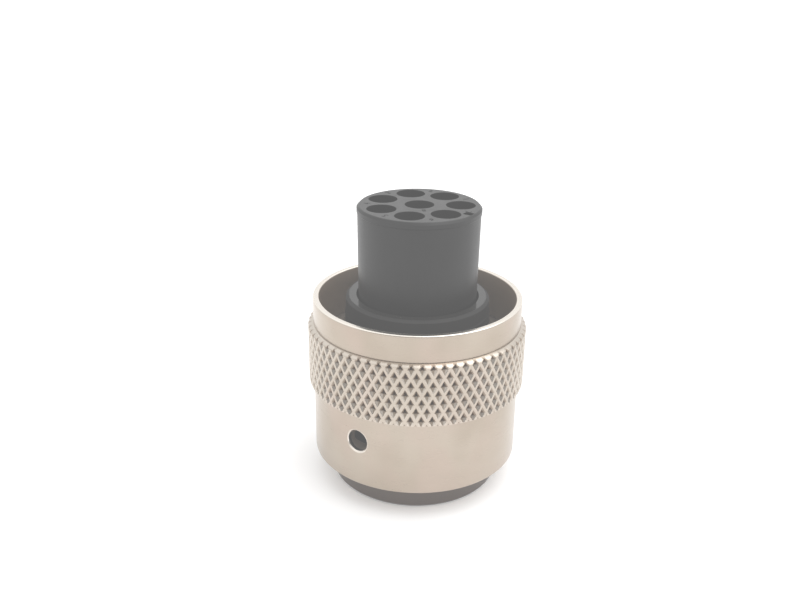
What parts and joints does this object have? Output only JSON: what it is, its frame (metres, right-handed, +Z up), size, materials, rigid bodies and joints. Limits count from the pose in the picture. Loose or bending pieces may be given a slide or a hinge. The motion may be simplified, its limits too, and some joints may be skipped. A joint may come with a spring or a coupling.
{
  "type": "push-pull circular connector plug",
  "caption": "Push-pull circular connector plug with a knurled nickel-plated sliding sleeve, a ball lock and a tall round black insulator with wiring cavities.",
  "frame": {"origin": "centre of the plug's foot, on the surface it stands on (the mating end of the shell)", "axes": "+Z up along the plug's axis, from the mating end to the wiring end; the side that the sleeve's loading hole is nearest to faces -Y"},
  "size_m": [0.0272, 0.0272, 0.0357],
  "materials": {
    "sleeve_nickel": "satin nickel plate, warm grey",
    "shell_black": "satin black anodised",
    "insulator_plastic": "semi-gloss moulded",
    "seal_rubber": "matte",
    "spring_steel": "drawn wire",
    "ring_steel": "stamped",
    "ball_steel": "polished",
    "contact_gold": "gold plated",
    "clip_copper": "satin copper alloy"
  },
  "bodies": {
    "plug": {"plug_shell": "shell_black", "sleeve_spring": "spring_steel", "spring_washer": "ring_steel", "retaining_ring": "ring_steel", "interface_seal": "seal_rubber", "front_insulator": "insulator_plastic", "rear_insulator": "insulator_plastic", "insulator_snap_ring": "ring_steel", "socket_contact_1": "contact_gold", "socket_contact_2": "contact_gold", "socket_contact_3": "contact_gold", "socket_contact_4": "contact_gold", "socket_contact_5": "contact_gold", "socket_contact_6": "contact_gold", "socket_contact_7": "contact_gold", "socket_contact_8": "contact_gold", "retention_clip_1": "clip_copper", "retention_clip_2": "clip_copper", "retention_clip_3": "clip_copper", "retention_clip_4": "clip_copper", "retention_clip_5": "clip_copper", "retention_clip_6": "clip_copper", "retention_clip_7": "clip_copper", "retention_clip_8": "clip_copper"},
    "sleeve": {"coupling_sleeve": "sleeve_nickel"},
    "ball_1": {"lock_ball_1": "ball_steel"},
    "ball_2": {"lock_ball_2": "ball_steel"},
    "ball_3": {"lock_ball_3": "ball_steel"},
    "ball_4": {"lock_ball_4": "ball_steel"},
    "ball_5": {"lock_ball_5": "ball_steel"},
    "ball_6": {"lock_ball_6": "ball_steel"}
  },
  "joints": [
    {"name": "sleeve_pull", "type": "slide", "parent": "plug", "child": "sleeve", "axis": [0, 0, 1], "range_m": [0, 0.0018], "stiffness_N_per_m": 2000, "springref_m": -0.002, "deforming": ["sleeve_spring"]},
    {"name": "ball_slide_1", "type": "slide", "parent": "plug", "child": "ball_1", "axis": [-0.0297, -0.9996, 0], "range_m": [0, 0.0006]},
    {"name": "ball_slide_2", "type": "slide", "parent": "plug", "child": "ball_2", "axis": [0.8508, -0.5255, 0], "range_m": [0, 0.0006]},
    {"name": "ball_slide_3", "type": "slide", "parent": "plug", "child": "ball_3", "axis": [0.8805, 0.4741, 0], "range_m": [0, 0.0006]},
    {"name": "ball_slide_4", "type": "slide", "parent": "plug", "child": "ball_4", "axis": [0.0297, 0.9996, 0], "range_m": [0, 0.0006]},
    {"name": "ball_slide_5", "type": "slide", "parent": "plug", "child": "ball_5", "axis": [-0.8508, 0.5255, 0], "range_m": [0, 0.0006]},
    {"name": "ball_slide_6", "type": "slide", "parent": "plug", "child": "ball_6", "axis": [-0.8805, -0.4741, 0], "range_m": [0, 0.0006]}
  ],
  "couplings": [
    {"joint": "ball_slide_1", "follows": "sleeve_pull", "ratio": 0.33333},
    {"joint": "ball_slide_2", "follows": "sleeve_pull", "ratio": 0.33333},
    {"joint": "ball_slide_3", "follows": "sleeve_pull", "ratio": 0.33333},
    {"joint": "ball_slide_4", "follows": "sleeve_pull", "ratio": 0.33333},
    {"joint": "ball_slide_5", "follows": "sleeve_pull", "ratio": 0.33333},
    {"joint": "ball_slide_6", "follows": "sleeve_pull", "ratio": 0.33333}
  ]
}
